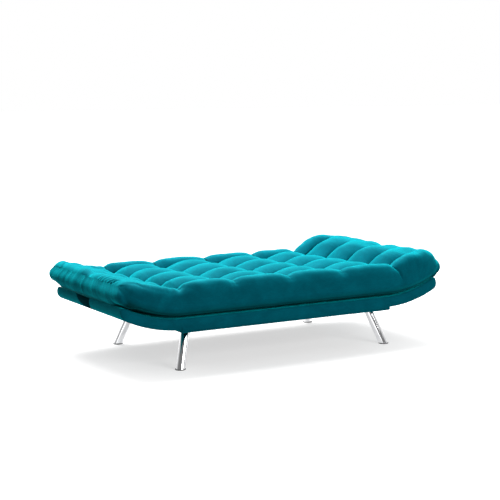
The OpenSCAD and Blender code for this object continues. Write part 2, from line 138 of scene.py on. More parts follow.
def mesh_piece(name, points, places, extras):
    """A closed piece from rings of points. It keeps each point's place on the flat cloth, and the extras."""
    rows, cols = points.shape[:2]
    index = np.arange(rows * cols).reshape(rows, cols)
    following = np.roll(index, -1, axis=1)
    faces = np.stack([index[:-1], following[:-1], following[1:], index[1:]], axis=-1).reshape(-1, 4)
    mesh = bpy.data.meshes.new(name)
    mesh.vertices.add(rows * cols)
    mesh.vertices.foreach_set("co", points.reshape(-1))
    mesh.loops.add(len(faces) * 4)
    mesh.loops.foreach_set("vertex_index", faces.reshape(-1))
    mesh.polygons.add(len(faces))
    mesh.polygons.foreach_set("loop_start", np.arange(0, len(faces) * 4, 4))
    mesh.polygons.foreach_set("loop_total", np.full(len(faces), 4))
    mesh.update(calc_edges=True)
    flat = mesh.attributes.new("flat_place", "FLOAT_VECTOR", "POINT")
    flat.data.foreach_set("vector", places.reshape(-1))
    for key, values in extras.items():
        layer = mesh.attributes.new(key, "FLOAT", "POINT")
        layer.data.foreach_set("value", values.reshape(-1).astype(np.float32))
    work = bmesh.new()
    work.from_mesh(mesh)
    bmesh.ops.remove_doubles(work, verts=work.verts, dist=0.00005)
    bmesh.ops.recalc_face_normals(work, faces=work.faces)
    work.to_mesh(mesh)
    work.free()
    mesh.polygons.foreach_set("use_smooth", np.ones(len(mesh.polygons), bool))
    piece = bpy.data.objects.new(name, mesh)
    bpy.context.scene.collection.objects.link(piece)
    return piece


# ---------------------------------------------------------------- mattress

LINE_STEPS = 26          # mesh lines across one quilted row
BORDER_STEPS = 14        # from the outer seam to the rounded edge
CELL_STEPS = 46          # rings along one quilted cell
WING_STEPS = 44          # rings along one raised end
NOSE_STEPS = 26          # rings round its nose
SIDE_STEPS = 12          # mesh lines down a long side face
CROWDING = 0.72          # how much lines and rings crowd toward the seams
EDGE_ANGLES = np.radians(np.linspace(0, 90, 11))

CROSSING_DEPTH = 0.060   # how deep the cloth lies where two seams cross
CROSS_DEPTH = 0.050      # on a cross seam, midway between two lengthwise ones
LONG_DEPTH = 0.041       # on a lengthwise seam of the flat middle
WING_DEPTH = 0.040       # on a lengthwise seam of a raised end, up to its crest
LEFT_EASE = 0.036        # how much of that depth is gone past the crest of the left end
RIGHT_EASE = 0.034       # and of the right end
NOSE_EASE = 0.003        # and how much more is gone round the nose
CREST = 0.009            # how far the middle of a cell stands out
EDGE_DIP = 0.009         # how far the long edge sinks at each cross seam
EDGE_DIP_REACH = 0.034
LEFT_DIP = 0.013         # how much further the front edge sinks at the left valley
LEFT_DIP_REACH = 0.075

FULLNESS = 0.040         # how much the right raised end stands up at mid width
FULLNESS_SKEW = 0.020    # and how much more at the back, less at the front
DOME_FALL = 0.17         # from its fullest part to where it ends
INNER_SLACK = 0.007      # how far the left raised end sinks on its inner slope
CREST_SLACK = 0.018      # and at its crest
SLACK_SKEW = 0.004
DROOP = 0.005            # how far the front corner of the right raised end sinks
MIDDLE_DIP = 0.017       # depth of the soft hollow over the split, on both raised ends
MIDDLE_DIP_REACH = 0.060
LEFT_DRAW = 0.020        # how far the end of the left raised end is drawn in
LEFT_DRAW_SKEW = -0.022  # and how much less at the back, more at the front
RIGHT_DRAW = -0.022      # how far the end of the right raised end is drawn in
BORDER_WIDTH = 0.062     # from the outer seam to the fullest line of the border row
WING_START = 0.105       # from the valley to where a raised end has its full shape

SIDE_BULGE = 0.007       # how far the long side faces bulge
TUCK = 0.016             # how far the lower long edges draw in over the base
OVERHANG = 0.011         # how far the underside hangs down past the tips of the base
SEAM_WIDTH = 0.009       # half width of the dark line along a seam: the stitched line, plus painted shade of the crease it lies in

ROW_PUCKER = 0.0011      # height of the small puckers beside the lengthwise seams
CELL_PUCKER = 0.0009     # and beside the cross seams
WRINKLE = 0.0026         # height of the wrinkles on the left end, near its front corner
FINE_WRINKLE = 0.0009
FOLD_DEPTH = 0.011       # depth of the crease over the front edge, near the left valley
FOLD_WIDTH = 0.007
UNEVEN = 0.0022          # height of the soft unevenness of the whole mattress
FINE_UNEVEN = 0.0006

# Distances round a ring, from the middle of its top: the flat top ends at 0.413, and the side face lies
# between 0.479 and 0.588.


def top_lines():
    """Distances across the bed of the lines on the flat of the mattress, close together at its seams."""
    flat_edge = HALF_WIDTH - EDGE_TOP
    lines = [crowded(k * ROW, (k + 1) * ROW, LINE_STEPS, CROWDING)[:-1] for k in range(-2, 2)]
    border = (np.arange(BORDER_STEPS + 1) / BORDER_STEPS) ** 1.35
    right = OUTER_SEAM + (flat_edge - OUTER_SEAM) * border
    return np.concatenate([-right[::-1], *lines, right])


def unique_sorted(values):
    """The values in order, each once."""
    values = np.sort(np.asarray(values))
    return values[np.concatenate([[True], np.diff(values) > 1e-6])]


def station_list():
    """Distances along the bed of the rings of the mattress, with the angle round the nose at each."""
    wing_end = end_of(WING_END)
    stops = (0.0, CELL, VALLEY)
    half = [crowded(a, b, CELL_STEPS, CROWDING)[:-1] for a, b in zip(stops[:-1], stops[1:])]
    wing = VALLEY + (wing_end - VALLEY) * (np.arange(WING_STEPS) / WING_STEPS) ** 1.2
    turn = np.radians(np.linspace(0, 90, NOSE_STEPS + 1))
    along = np.concatenate([*half, wing, wing_end + NOSE * np.sin(turn)])
    nose = np.concatenate([np.zeros(len(along) - len(turn)), turn])
    return np.concatenate([-along[:0:-1], along]), np.concatenate([nose[:0:-1], nose])


def mattress_ring(along, nose, lines):
    """One ring of the plain mattress: distances across the bed, and heights above the underside."""
    shrink = math.cos(nose)
    wing_rise = WING_RISE if along > 0 else SLACK_RISE
    rise = RISE + (wing_rise - RISE) * float(smooth(0.56, 0.70, abs(along)))
    mid = rise / 2
    low, high = mid * (1 - shrink), mid * (1 + shrink)
    round_part = max(0, abs(along) - CORNER_START) / (end_of(WING_END) + NOSE - CORNER_START)
    width = HALF_WIDTH - CORNER * (1 - math.sqrt(max(0, 1 - round_part ** 2)))
    top = EDGE_TOP * shrink
    bottom = EDGE_LOW * shrink
    edge_y = width - EDGE_TOP
    across_top = lines * edge_y / (HALF_WIDTH - EDGE_TOP)
    side = np.linspace(high - top, low + bottom, SIDE_STEPS + 1)[1:-1]
    right_y = np.concatenate([
        edge_y + EDGE_TOP * np.sin(EDGE_ANGLES[1:]),
        np.full(len(side), width),
        edge_y + EDGE_TOP * np.cos(EDGE_ANGLES[:-1])])
    right_height = np.concatenate([
        high - top * (1 - np.cos(EDGE_ANGLES[1:])),
        side,
        low + bottom * (1 - np.sin(EDGE_ANGLES[:-1]))])
    y = np.concatenate([across_top, right_y, across_top[::-1], -right_y[::-1]])
    height = np.concatenate([
        np.full(len(lines), high), right_height, np.full(len(lines), low), right_height[::-1]])
    return y, height


def ring_distance(lines):
    """Distance of each point round the ring from the middle of its top, and 1 for the points underneath."""
    edge = HALF_WIDTH - EDGE_TOP
    side = RISE - EDGE_TOP - EDGE_LOW
    side_start = edge + EDGE_TOP * math.pi / 2
    side_end = side_start + side
    right = np.concatenate([
        edge + EDGE_TOP * EDGE_ANGLES[1:],
        side_start + np.linspace(0, side, SIDE_STEPS + 1)[1:-1],
        side_end + EDGE_LOW * EDGE_ANGLES[:-1]])
    underside = lines[::-1]
    under = np.sign(underside) * (side_end + EDGE_LOW * math.pi / 2 + edge - np.abs(underside))
    down = smooth(0.3, 0.8, np.linspace(0, 1, len(right)))
    u = np.concatenate([lines, right, under, -right[::-1]])
    lower = np.concatenate([np.zeros(len(lines)), down, np.ones(len(lines)), down[::-1]])
    return u, lower


def row_position(u):
    """Place inside a quilted row, from -1 to 1 at its seams. The outer rows have no outer seam."""
    inner = 2 * np.mod(u / ROW, 1) - 1
    outer = np.clip((np.abs(u) - OUTER_SEAM) / BORDER_WIDTH, 0, 1) - 1
    return np.where(np.abs(u) < OUTER_SEAM, inner, outer)


def cell_position(s):
    """Place inside a quilted cell along the bed, from -1 to 1. It is 0 on a raised end past its start."""
    inner = 2 * np.mod(s / CELL, 1) - 1
    wing = np.clip((np.abs(s) - VALLEY) / WING_START, 0, 1) - 1
    return np.where(np.abs(s) < VALLEY, inner, wing)


def ripple(s, u, scale, seed):
    """Soft unevenness of stuffed cloth, about plus or minus one, with waves about scale long."""
    rng = np.random.default_rng(seed)
    total = np.zeros(np.broadcast(s, u).shape)
    for _ in range(7):
        angle, phase = rng.uniform(0, 2 * np.pi, 2)
        wave = 2 * np.pi / (scale * rng.uniform(0.7, 1.5))
        warp = 0.35 * scale * np.sin(1.7 * s / scale + 2.3 * u / scale + phase)
        total += np.sin(wave * (np.cos(angle) * s + np.sin(angle) * u + warp) + phase)
    return total / 4


def top_share(nose, lower):
    """1 on the top and on the end faces, falling to 0 underneath."""
    return np.where(lower > 0.5, smooth(0.9, 1.57, nose), 1.0)


def past_crest(s):
    """0 up to the crest of a raised end, rising to 1 past it."""
    return np.where(s < 0, smooth(0.68, 0.84, -s), smooth(0.74, 0.90, s))


def turned(nose, lower):
    """Angle round a nose, from 0 on top to pi underneath."""
    return np.where(lower > 0.5, np.pi - nose, nose)


def beside(position, length, reach):
    """1 at a seam, falling off within about reach. The position is inside a row or cell of that length."""
    return np.exp(-(np.abs(np.abs(position) - 1) * length / 2 / reach) ** 2)


def quilting(s, u, nose, lower):
    """Height of the quilted cells and channels over the plain shape."""
    row, cell = row_position(u), cell_position(s)
    width = np.abs(u)
    flat = np.abs(s) < VALLEY
    sharp = (1 - np.abs(row) ** 2.1) ** 0.85
    soft = 0.5 + 0.5 * np.cos(np.pi * row)
    outer_face = smooth(0.80, 0.93, np.abs(s)) * (width < OUTER_SEAM)
    across = sharp + (soft - sharp) * outer_face
    along = (1 - np.abs(cell) ** 2.3) ** 0.85

    to_edge = smooth(OUTER_SEAM - 0.017, OUTER_SEAM + 0.058, width)
    down_side = smooth(0.430, 0.495, width)
    past = past_crest(s)
    round_nose = smooth(0.1, 2.6, turned(nose, lower))
    ease = np.where(s < 0, LEFT_EASE, RIGHT_EASE) * past + NOSE_EASE * round_nose
    wing_depth = LONG_DEPTH + (WING_DEPTH - ease - LONG_DEPTH) * smooth(VALLEY, 0.700, np.abs(s))
    long_depth = np.where(flat, LONG_DEPTH, wing_depth)
    depth = (
        CROSSING_DEPTH * (1 - across) * (1 - along)
        + long_depth * (1 - across) * along
        + CROSS_DEPTH * across * (1 - along))
    crest = CREST * (1 - down_side) * np.where(flat, 1.0, 1 - past)

    edge_dip = EDGE_DIP * np.maximum(to_edge - down_side, 0) * beside(cell, CELL, EDGE_DIP_REACH)
    left_valley = np.exp(-((s + VALLEY) / LEFT_DIP_REACH) ** 2) * smooth(0.30, 0.42, -u)
    edge_dip = edge_dip + LEFT_DIP * left_valley * (1 - down_side)
    return (crest * across * along - depth * (1 - to_edge) - edge_dip) * top_share(nose, lower)


def end_shape(s, u, nose, lower):
    """How the raised ends differ from the plain arc: the right one is fuller, the left one slacker."""
    width = np.abs(u)
    top = top_share(nose, lower)
    reach = s - (VALLEY + DOME_RISE)
    rising = 1 - (reach / DOME_RISE) ** 2
    falling = 0.5 + 0.5 * np.cos(np.pi * np.clip(reach / DOME_FALL, 0, 1))
    dome = np.where(reach < 0, rising, falling) * (s > VALLEY)
    fuller = (FULLNESS + FULLNESS_SKEW * u / HALF_WIDTH) * dome
    crest_slack = (CREST_SLACK + SLACK_SKEW * u / HALF_WIDTH) * smooth(0.840, 0.960, -s)
    slacker = INNER_SLACK * smooth(VALLEY, 0.680, -s) + crest_slack
    drooping = DROOP * smooth(0.760, 0.900, s) * (1 - smooth(-0.40, 0.25, u))
    before_nose = 1 - smooth(0.2, 1.5, nose)
    hollow = MIDDLE_DIP * np.exp(-(u / MIDDLE_DIP_REACH) ** 2) * past_crest(s) * smooth(0.0, 0.1, top)
    inside = 1 - np.where(s < 0, smooth(0.445, 0.520, width), smooth(0.420, 0.475, width))
    return (fuller - (slacker + drooping) * before_nose - hollow) * inside * top


def edge_shape(s, u, nose, lower):
    """The long side faces bulge, the lower edges draw in, and the underside hangs past the base."""
    width = np.abs(u)
    tuck = smooth(0.548, 0.592, width) * (1 - smooth(0.64, 0.72, width)) * (1 - smooth(0.1, 0.8, nose))
    overhang = smooth(0.890, 0.925, np.abs(s)) * (1 - smooth(0.9, 1.5, nose)) * smooth(0.5, 1.0, lower)
    bulge = smooth(0.455, 0.49, width) * (1 - smooth(0.545, 0.59, width)) * (1 - smooth(0.2, 1.2, nose))
    return SIDE_BULGE * bulge + OVERHANG * overhang - TUCK * tuck


def seam_and_shade_mask(s, u, nose, lower):
    """1 on the sewn lines and in the groove over the base, 0 elsewhere: there the velvet is darkened, partly
    for the stitching and partly as painted shade of the creases and of the groove.
    """
    width = np.abs(u)
    seam_across = np.abs(np.abs(row_position(u)) - 1) * ROW / 2
    seam_along = np.abs(np.abs(cell_position(s)) - 1) * CELL / 2
    near = np.minimum(
        np.where(width < 0.42, seam_across, 1), np.where(np.abs(s) < 0.7, seam_along, 1))
    sewn = (1 - smooth(0.0, SEAM_WIDTH, near)) * (1 - smooth(0.40, 0.45, width))
    sewn = sewn * top_share(nose, lower) * (1 - past_crest(s))
    # Painted shade: the groove where the mattress meets the base is marked here so that it is darkened, as
    # if in shadow.
    groove = smooth(0.562, 0.585, width) * (1 - smooth(0.15, 0.5, nose))
    return np.maximum(sewn, groove)


def creases(s, u, nose, lower):
    """Small folds: puckers beside the seams, wrinkles at one corner, and a crease over one edge."""
    width = np.abs(u)
    beside_row = beside(row_position(u), ROW, 0.022)
    beside_cell = beside(cell_position(s), CELL, 0.020)
    top = (1 - smooth(0.43, 0.50, width)) * (lower < 0.5) * (1 - smooth(0.64, 0.76, np.abs(s)))
    row_phase = 2 * np.pi * s / 0.021 + 1.5 * np.sin(s * 31) + 4 * np.sin(u * 9)
    cell_phase = 2 * np.pi * u / 0.024 + 1.5 * np.sin(u * 27) + s * 5
    pucker = ROW_PUCKER * beside_row * np.sin(row_phase)
    pucker += CELL_PUCKER * beside_cell * np.sin(cell_phase)

    angle = turned(nose, lower)
    end_face = (s < 0) * smooth(0.75, 1.20, angle) * (1 - smooth(2.1, 2.7, angle))
    front = smooth(-0.42, -0.36, u) * (1 - smooth(-0.26, -0.12, u))
    waver = 0.007 * np.sin(3.1 * nose + 21 * u) + 0.003 * np.sin(7.3 * nose)
    fine = FINE_WRINKLE * np.sin(2 * np.pi * (u - waver) / 0.0205 + 1)
    coarse = WRINKLE * np.sin(2 * np.pi * (u + waver) / 0.0365)
    wrinkle = end_face * front * (coarse + fine)

    slant = s - 0.620 - 0.50 * (width - 0.45)
    over_edge = smooth(0.41, 0.45, width) * (1 - smooth(0.485, 0.525, width))
    fold = FOLD_DEPTH * np.exp(-(slant / FOLD_WIDTH) ** 2) * (u < 0) * over_edge
    return pucker * top + wrinkle - fold


def seam_drift(s, y):
    """How far the cloth lies along the bed from where an even mattress would have it."""
    across = y / HALF_WIDTH
    at_end = smooth(VALLEY, end_of(WING_END), np.abs(s))
    skew = SEAM_SKEW + VALLEY_SKEW * smooth(0.20, VALLEY, s)
    drawn_in = np.where(s > 0, RIGHT_DRAW, LEFT_DRAW + LEFT_DRAW_SKEW * across)
    return (SEAM_DRIFT + skew * across) * (1 - at_end) + drawn_in * at_end


def make_mattress():
    """The quilted mattress as one closed piece, curved up over both raised ends."""
    lines = unique_sorted(top_lines())
    along, nose = station_list()
    rings = [mattress_ring(s, n, lines) for s, n in zip(along, nose)]
    y = np.array([ring[0] for ring in rings])
    above = np.array([ring[1] for ring in rings])
    u, lower = ring_distance(lines)
    s_grid = np.repeat(along[:, None], y.shape[1], axis=1)
    nose_grid = np.repeat(nose[:, None], y.shape[1], axis=1)
    u_grid = np.repeat(u[None, :], y.shape[0], axis=0)
    lower_grid = np.repeat(lower[None, :], y.shape[0], axis=0)

    x, z = bend(s_grid + seam_drift(s_grid, y), MATTRESS_R - above, WING_END)
    points = np.stack([x, y, z], axis=-1)
    normals = grid_normals(points)
    normals[1:-1] *= np.sign(normals[len(along) // 2, 0, 2])
    normals[0] = (-math.cos(WING_END), 0, math.sin(WING_END))
    normals[-1] = (math.cos(WING_END), 0, math.sin(WING_END))

    place = (s_grid, u_grid, nose_grid, lower_grid)
    seam_and_shade = seam_and_shade_mask(*place)
    height = quilting(*place) + end_shape(*place) + edge_shape(*place) + creases(*place)
    free = smooth(0.0, 0.4, 1 - lower_grid * (nose_grid < 0.3))
    height = height + UNEVEN * free * ripple(s_grid, u_grid, 0.17, 3) * (1 - seam_and_shade)
    height = height + FINE_UNEVEN * free * ripple(s_grid, u_grid, 0.045, 8)
    points = points + normals * height[..., None]
    flat_places = np.stack([s_grid, u_grid, height], axis=-1)
    # The seam mask goes on the mesh, and the velvet uses it to paint shade along the seams and in the groove
    # over the base.
    piece = mesh_piece("quilted_mattress", points, flat_places, {"seam_and_shade": seam_and_shade})
    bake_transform(piece)
    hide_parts("seat_mattress", "mattress_fold", "back_mattress")
    return piece


# ---------------------------------------------------------------- covers of the base

PANEL = 0.055            # thickness of the upholstered panel
BOX_HALF = 0.605         # half length of the deeper box
BOX_EDGE = 0.005         # radius of the lower edge at the ends of the box
SKIRT = 0.012            # thickness of its padded wall
RECESS = 0.039           # depth of the ceiling inside the skirt, below the top of the base
BASE_END = math.radians(26)
BASE_NOSE = 0.042
TIP_DEPTH = 0.010        # how far below its top face the tip of the panel lies
TIP_DRAW = 0.020         # how much the width draws in round the tip
CHAMFER = math.tan(math.radians(30))
COVER_EDGE = 0.013       # radius of the upper long edge
HEM = 0.0055             # radius of the lower edge of the skirt, inside and outside
ROLL = 0.006             # radius of the edges beside the split
SIDE_PUFF = 0.0028       # how far the long side bulges between its edges
COVER_UNEVEN = 0.0012    # height of the soft unevenness of the long side
HEM_LINE = 0.009         # height of the sewn line above the bottom of the box


def cover_stations():
    """Rings of a base cover: distance along the bed, depth, recess and angle round the nose."""
    box_depth = DECK_Z - BOX_BOTTOM
    inside = BOX_HALF - SKIRT
    corner = BOX_HALF - BOX_EDGE
    rows = [(s, box_depth, RECESS, 0) for s in np.linspace(0, inside - 0.004, 60)]
    rows += [(inside, box_depth, RECESS + 0.002, 0), (inside + 0.0006, box_depth, box_depth - 0.002, 0)]
    rows += [(inside + 0.002, box_depth, box_depth, 0), (corner, box_depth, box_depth, 0)]
    for turn in np.radians([30, 60, 90]):
        depth = box_depth - BOX_EDGE * (1 - math.cos(turn))
        rows.append((corner + BOX_EDGE * math.sin(turn), depth, depth, 0))
    rows += [(BOX_HALF + 0.0003, PANEL + 0.002, PANEL + 0.002, 0)]
    wing_end = end_of(BASE_END)
    rows += [(s, PANEL, PANEL, 0) for s in np.linspace(BOX_HALF + 0.004, wing_end, 34)]
    for turn in np.radians(np.linspace(0, 90, 13))[1:]:
        rows.append((wing_end + BASE_NOSE * math.sin(turn), PANEL, PANEL, turn))
    half = np.array(rows)
    mirrored = half[:0:-1] * np.array([-1, 1, 1, 1])
    return np.concatenate([mirrored, half])


def cover_ring(station, side):
    """One ring of a base cover: distances from the hinge line, depths, and the share of its full depth."""
    depth, recess, turn = station[1:]
    shrink = math.cos(turn)
    inner = SEAT_INNER if side == SEAT else BACK_INNER
    outer = BASE_HALF_WIDTH - TIP_DRAW * (1 - shrink)
    wall = outer - SKIRT
    under_box = recess < depth - 0.004
    quarter = np.radians(np.linspace(0, 90, 7))
    rising, falling = 1 - np.sin(quarter), 1 - np.cos(quarter)
    face = np.linspace(COVER_EDGE, depth - HEM, 12)[1:-1]
    puff = SIDE_PUFF * np.sin(np.pi * (face - COVER_EDGE) / max(depth - HEM - COVER_EDGE, 1e-6))
    inner_wall = np.linspace(depth - HEM, recess, 6)[1:-1] if under_box else np.full(4, depth)
    across = np.concatenate([
        np.linspace(inner + ROLL, outer - COVER_EDGE, 40),
        outer - COVER_EDGE + COVER_EDGE * np.sin(quarter[1:]),
        outer + puff * shrink,
        outer - HEM * falling,
        wall + HEM * rising,
        np.full(4, wall),
        np.linspace(wall, inner + ROLL, 36),
        inner + ROLL * rising[1:],
        np.full(6, inner),
        inner + ROLL * falling[:-1]])
    below = np.concatenate([
        np.zeros(40),
        COVER_EDGE * falling[1:],
        face,
        depth - HEM * rising,
        np.where(under_box, depth - HEM * falling, depth),
        inner_wall,
        np.full(36, recess),
        recess - ROLL * falling[1:],
        np.linspace(recess - ROLL, ROLL, 8)[1:-1],
        ROLL * rising[:-1]])
    return across, below, shrink


def make_cover(name, side, body, node):
    """The upholstered cover of one half of the base, as one closed piece on its own body."""
    stations = cover_stations()
    across, depths = [], []
    for station in stations:
        ring_across, ring_depth, shrink = cover_ring(station, side)
        across.append(ring_across)
        on_nose = station[3] > 0
        depths.append(TIP_DEPTH + (ring_depth - TIP_DEPTH) * shrink if on_nose else ring_depth)
    out, depth = np.array(across), np.array(depths)
    s = np.repeat(stations[:, :1], out.shape[1], axis=1)
    x, z = bend(s, DECK_R + depth, BASE_END)
    if side == BACK:
        inner, outer = BACK_INNER, BASE_HALF_WIDTH
        limit = np.clip((z - HINGE_Z) / CHAMFER, inner, outer)
        slanted = limit + (out - inner) * (outer - limit) / (outer - inner)
        out = np.where(np.abs(s) > FLAT_HALF, slanted, out)
    points = np.stack([x, side * out, z], axis=-1)
    normals = grid_normals(points)
    normals *= np.sign(normals[len(stations) // 2, 20, 2])
    soft = smooth(0.0, 0.012, np.minimum(depth, 0.055)) * (np.abs(s) < end_of(BASE_END))
    uneven = COVER_UNEVEN * soft * ripple(s, out + 2 * depth, 0.13, 21 + side)
    uneven = uneven * (out > BASE_HALF_WIDTH - 0.003)
    points = points + normals * uneven[..., None]
    places = np.stack([s, side * (out + depth), depth], axis=-1)
    hem_line = 1 - smooth(0.0, 0.002, np.abs(depth - (DECK_Z - BOX_BOTTOM) + HEM_LINE))
    # On the cover this mask holds only the sewn line near the bottom of the box.
    seam_and_shade = hem_line * (out > BASE_HALF_WIDTH - 0.004) * (np.abs(s) < BOX_HALF)
    piece = mesh_piece(name, points, places, {"seam_and_shade": seam_and_shade})
    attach(piece, body)
    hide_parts(node)
    return piece


# ---------------------------------------------------------------- materials

def new_material(name):
    """A material whose shader is joined to its output. Returns it with its node tree and that shader."""
    material = bpy.data.materials.new(name)
    material.use_nodes = True
    tree = material.node_tree
    tree.nodes.clear()
    output = tree.nodes.new("ShaderNodeOutputMaterial")
    shader = tree.nodes.new("ShaderNodeBsdfPrincipled")
    tree.links.new(shader.outputs["BSDF"], output.inputs["Surface"])
    return material, tree, shader


def add(tree, kind, **values):
    """A new node with the given inputs or settings."""
    node = tree.nodes.new(kind)
    for key, value in values.items():
        if key in node.inputs:
            node.inputs[key].default_value = value
        else:
            setattr(node, key, value)
    return node


def ramp(tree, source, stops):
    """Colours at the given places of a value, blended in between."""
    node = tree.nodes.new("ShaderNodeValToRGB")
    tree.links.new(source, node.inputs["Fac"])
    while len(node.color_ramp.elements) < len(stops):
        node.color_ramp.elements.new(0.5)
    for element, (place, colour) in zip(node.color_ramp.elements, stops):
        element.position = place
        element.color = (*colour, 1)
    return node.outputs["Color"]


def velvet_material():
    """Turquoise velvet: short pile with sheen, brushed patches and streaks, and darker, duller seams and
    groove over the base; the dark there is partly stitching and partly painted shade.
    """
    material, tree, shader = new_material("velvet")
    link = tree.links.new
    place = add(tree, "ShaderNodeAttribute", attribute_name="flat_place")
    seam_and_shade = add(tree, "ShaderNodeAttribute", attribute_name="seam_and_shade")

    brushed = add(tree, "ShaderNodeTexNoise", Scale=7.0, Detail=4.0, Roughness=0.6, Distortion=0.8)
    link(place.outputs["Vector"], brushed.inputs["Vector"])
    body = ramp(tree, brushed.outputs["Fac"], [
        (0.30, (0.000, 0.086, 0.122)), (0.52, (0.000, 0.106, 0.148)), (0.75, (0.000, 0.128, 0.176))])

    stretched = add(tree, "ShaderNodeMapping")
    stretched.inputs["Scale"].default_value = (60, 420, 60)
    link(place.outputs["Vector"], stretched.inputs["Vector"])
    streaks = add(tree, "ShaderNodeTexNoise", Scale=1.0, Detail=3.0, Roughness=0.55)
    link(stretched.outputs["Vector"], streaks.inputs["Vector"])
    streak_colour = ramp(tree, streaks.outputs["Fac"], [(0.3, (0.86, 0.86, 0.86)), (0.7, (1.1, 1.1, 1.1))])
    streaked = add(tree, "ShaderNodeMix", data_type="RGBA", blend_type="MULTIPLY")
    streaked.inputs["Factor"].default_value = 0.8
    link(body, streaked.inputs["A"])
    link(streak_colour, streaked.inputs["B"])

    # Painted shade: the seams and the groove over the base are mixed toward this dark teal, as if in shadow,
    # besides the stitched lines.
    seam_and_shade_mix = add(tree, "ShaderNodeMix", data_type="RGBA")
    seam_and_shade_mix.inputs["B"].default_value = (0.0, 0.045, 0.052, 1)
    link(streaked.outputs["Result"], seam_and_shade_mix.inputs["A"])
    link(seam_and_shade.outputs["Fac"], seam_and_shade_mix.inputs["Factor"])
    link(seam_and_shade_mix.outputs["Result"], shader.inputs["Base Color"])

    pile = add(tree, "ShaderNodeTexNoise", Scale=900.0, Detail=2.0, Roughness=0.7)
    link(place.outputs["Vector"], pile.inputs["Vector"])
    weave = add(tree, "ShaderNodeBump", Strength=0.35, Distance=0.0006)
    link(pile.outputs["Fac"], weave.inputs["Height"])
    nap = add(tree, "ShaderNodeBump", Strength=0.25, Distance=0.002)
    link(streaks.outputs["Fac"], nap.inputs["Height"])
    link(weave.outputs["Normal"], nap.inputs["Normal"])
    link(nap.outputs["Normal"], shader.inputs["Normal"])

    shader.inputs["Roughness"].default_value = 0.82
    shader.inputs["Specular IOR Level"].default_value = 0.02
    # Painted shade: the sheen is cut on the seams and in the groove so that they stay dark, as if shaded.
    sheen_cut_for_shade = add(tree, "ShaderNodeMapRange")
    sheen_cut_for_shade.inputs["To Min"].default_value = 1.0
    sheen_cut_for_shade.inputs["To Max"].default_value = 0.25
    link(seam_and_shade.outputs["Fac"], sheen_cut_for_shade.inputs["Value"])
    link(sheen_cut_for_shade.outputs["Result"], shader.inputs["Sheen Weight"])
    shader.inputs["Sheen Roughness"].default_value = 0.42
    shader.inputs["Sheen Tint"].default_value = (0.0, 0.82, 0.90, 1)
    return material


def chrome_material():
    """Polished chrome with faint smudges."""
    material, tree, shader = new_material("chrome_tube")
    link = tree.links.new
    place = add(tree, "ShaderNodeTexCoord")
    smudge = add(tree, "ShaderNodeTexNoise", Scale=26.0, Detail=5.0, Roughness=0.6)
    link(place.outputs["Object"], smudge.inputs["Vector"])
    rough = add(tree, "ShaderNodeMapRange")
    rough.inputs["From Min"].default_value = 0.35
    rough.inputs["From Max"].default_value = 0.75
    rough.inputs["To Min"].default_value = 0.05
    rough.inputs["To Max"].default_value = 0.16
    link(smudge.outputs["Fac"], rough.inputs["Value"])
    link(rough.outputs["Result"], shader.inputs["Roughness"])
    tone = ramp(tree, smudge.outputs["Fac"], [(0.3, (0.80, 0.81, 0.83)), (0.7, (0.90, 0.90, 0.91))])
    link(tone, shader.inputs["Base Color"])
    shader.inputs["Metallic"].default_value = 1.0
    return material


def painted_material():
    """Black powder coat with a fine orange peel."""
    material, tree, shader = new_material("frame_steel")
    link = tree.links.new
    place = add(tree, "ShaderNodeTexCoord")
    peel = add(tree, "ShaderNodeTexNoise", Scale=480.0, Detail=3.0)
    link(place.outputs["Object"], peel.inputs["Vector"])
    bump = add(tree, "ShaderNodeBump", Strength=0.3, Distance=0.0004)
    link(peel.outputs["Fac"], bump.inputs["Height"])
    link(bump.outputs["Normal"], shader.inputs["Normal"])
    wear = add(tree, "ShaderNodeTexNoise", Scale=14.0, Detail=6.0, Roughness=0.65)
    link(place.outputs["Object"], wear.inputs["Vector"])
    tone = ramp(tree, wear.outputs["Fac"], [(0.35, (0.012, 0.012, 0.013)), (0.75, (0.030, 0.030, 0.032))])
    link(tone, shader.inputs["Base Color"])
    shader.inputs["Roughness"].default_value = 0.42
    return material


def zinc_material():
    """Bright zinc plate with a mottled, slightly blue finish."""
    material, tree, shader = new_material("zinc_steel")
    link = tree.links.new
    place = add(tree, "ShaderNodeTexCoord")
    mottle = add(tree, "ShaderNodeTexNoise", Scale=90.0, Detail=5.0, Roughness=0.7)
    link(place.outputs["Object"], mottle.inputs["Vector"])
    tone = ramp(tree, mottle.outputs["Fac"], [
        (0.3, (0.42, 0.44, 0.47)), (0.55, (0.58, 0.60, 0.62)), (0.75, (0.66, 0.64, 0.58))])
    link(tone, shader.inputs["Base Color"])
    rough = add(tree, "ShaderNodeMapRange")
    rough.inputs["To Min"].default_value = 0.24
    rough.inputs["To Max"].default_value = 0.46
    link(mottle.outputs["Fac"], rough.inputs["Value"])
    link(rough.outputs["Result"], shader.inputs["Roughness"])
    shader.inputs["Metallic"].default_value = 1.0
    return material


def wood_material():
    """Birch plywood slats: a pale grain that runs along each slat."""
    material, tree, shader = new_material("slat_wood")
    link = tree.links.new
    place = add(tree, "ShaderNodeTexCoord")
    stretched = add(tree, "ShaderNodeMapping")
    stretched.inputs["Scale"].default_value = (40, 3, 40)
    link(place.outputs["Object"], stretched.inputs["Vector"])
    grain = add(tree, "ShaderNodeTexNoise", Scale=2.0, Detail=8.0, Roughness=0.6, Distortion=1.2)
    link(stretched.outputs["Vector"], grain.inputs["Vector"])
    tone = ramp(tree, grain.outputs["Fac"], [
        (0.3, (0.42, 0.27, 0.14)), (0.5, (0.60, 0.42, 0.24)), (0.7, (0.72, 0.54, 0.34))])
    link(tone, shader.inputs["Base Color"])
    bump = add(tree, "ShaderNodeBump", Strength=0.25, Distance=0.0008)
    link(grain.outputs["Fac"], bump.inputs["Height"])
    link(bump.outputs["Normal"], shader.inputs["Normal"])
    shader.inputs["Roughness"].default_value = 0.55
    return material


